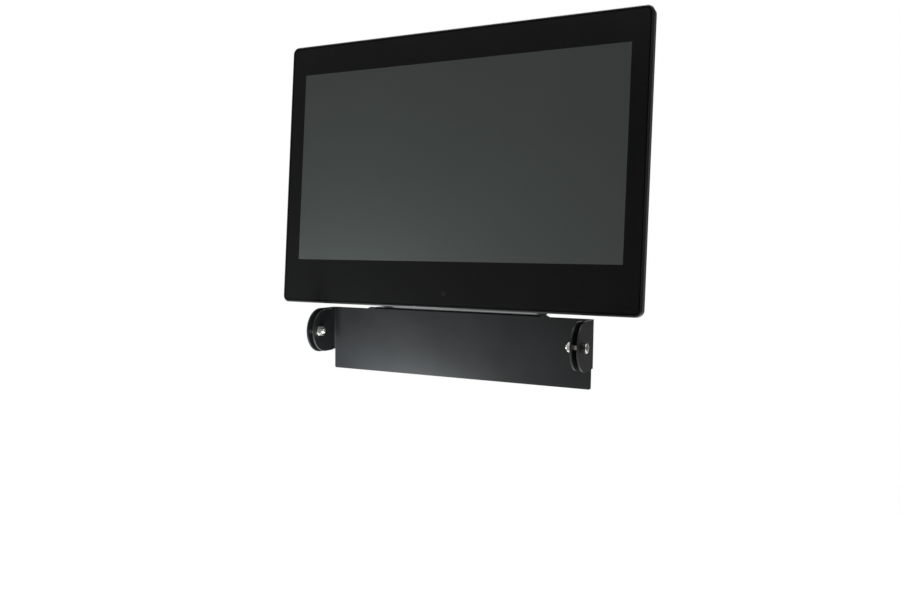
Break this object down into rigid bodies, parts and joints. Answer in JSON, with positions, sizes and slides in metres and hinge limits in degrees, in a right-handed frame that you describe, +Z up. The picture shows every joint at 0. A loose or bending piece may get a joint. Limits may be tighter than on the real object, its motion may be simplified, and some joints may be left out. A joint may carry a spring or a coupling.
{
  "type": "all-in-one panel computer on a tilt bracket",
  "caption": "Slim glass-fronted all-in-one computer whose bent steel bracket clamps to two side walls and tilts on its ear screws.",
  "frame": {"origin": "middle of the pivot axis through the two ear screws, where the side walls of a stand are clamped", "axes": "+X to the right seen from the front, along the pivot axis; +Y to the back; +Z up along the stand's side walls"},
  "size_m": [0.343, 0.0755, 0.3053],
  "materials": {
    "cover_glass": "gloss",
    "frame_black": "satin",
    "cover_black": "fine texture",
    "bracket_black": "powder coat",
    "zinc_steel": "zinc plated",
    "black_screw": "black oxide",
    "nylon_black": "moulded",
    "foam_black": "matt",
    "clear_film": "gloss",
    "lcd_glass": "gloss",
    "diffuser_white": "matt",
    "sheet_steel": "galvanised",
    "cast_aluminium": "satin",
    "circuit_board": "solder mask",
    "chip_black": "matt",
    "socket_black": "moulded",
    "socket_steel": "nickel plated",
    "thermal_grey": "matt",
    "ribbon": "polyimide",
    "brass": "knurled",
    "button_black": "satin"
  },
  "bodies": {
    "wall_clamps": {"clamp_plate_left": "bracket_black", "clamp_plate_right": "bracket_black", "pivot_screws": "zinc_steel", "pivot_bushes": "nylon_black", "pivot_washers": "zinc_steel", "pivot_nuts": "zinc_steel"},
    "screen_unit": {"bracket": "bracket_black", "vesa_screws": "black_screw", "vesa_inserts": "brass", "front_frame": "frame_black", "cover_glass": "cover_glass", "glass_gasket": "foam_black", "touch_film": "clear_film", "lcd_cell": "lcd_glass", "lcd_tray": "sheet_steel", "optical_films": "diffuser_white", "light_guide": "clear_film", "led_bar": "cast_aluminium", "lcd_driver_board": "circuit_board", "lcd_pads": "foam_black", "status_light_guide": "clear_film", "status_board": "circuit_board", "chassis_plate": "sheet_steel", "chassis_screws": "zinc_steel", "board_standoffs": "brass", "board_screws": "zinc_steel", "mainboard": "circuit_board", "processor": "chip_black", "thermal_pad": "thermal_grey", "heatsink": "cast_aluminium", "heatsink_screws": "zinc_steel", "memory_socket": "socket_black", "memory_module": "circuit_board", "card_sockets": "socket_black", "ssd_module": "circuit_board", "wifi_module": "circuit_board", "cell_holder": "socket_black", "coin_cell": "socket_steel", "touch_board": "circuit_board", "display_cable": "ribbon", "touch_cable": "ribbon", "speaker_left": "chip_black", "speaker_right": "chip_black", "antennas": "circuit_board", "usb_ports": "socket_steel", "hdmi_port": "socket_steel", "lan_port": "socket_steel", "dc_jack": "socket_black", "audio_jack": "socket_black", "io_plate": "sheet_steel", "button_switches": "socket_steel", "button_board": "circuit_board", "button_board_screws": "zinc_steel", "rear_cover": "cover_black", "cover_screws": "black_screw"},
    "power_key": {"power_button": "button_black"},
    "volume_up_key": {"volume_up_button": "button_black"},
    "volume_down_key": {"volume_down_button": "button_black"}
  },
  "joints": [
    {"name": "screen_tilt", "type": "hinge", "parent": "wall_clamps", "child": "screen_unit", "pos_m": [0, 0, 0], "axis": [-1, 0, 0], "range_deg": [-8, 10]},
    {"name": "power_press", "type": "slide", "parent": "screen_unit", "child": "power_key", "axis": [1, 0, 0], "range_m": [0, 0.0007], "stiffness_N_per_m": 1500, "springref_m": -0.0005},
    {"name": "volume_up_press", "type": "slide", "parent": "screen_unit", "child": "volume_up_key", "axis": [1, 0, 0], "range_m": [0, 0.0007], "stiffness_N_per_m": 1500, "springref_m": -0.0005},
    {"name": "volume_down_press", "type": "slide", "parent": "screen_unit", "child": "volume_down_key", "axis": [1, 0, 0], "range_m": [0, 0.0007], "stiffness_N_per_m": 1500, "springref_m": -0.0005}
  ]
}
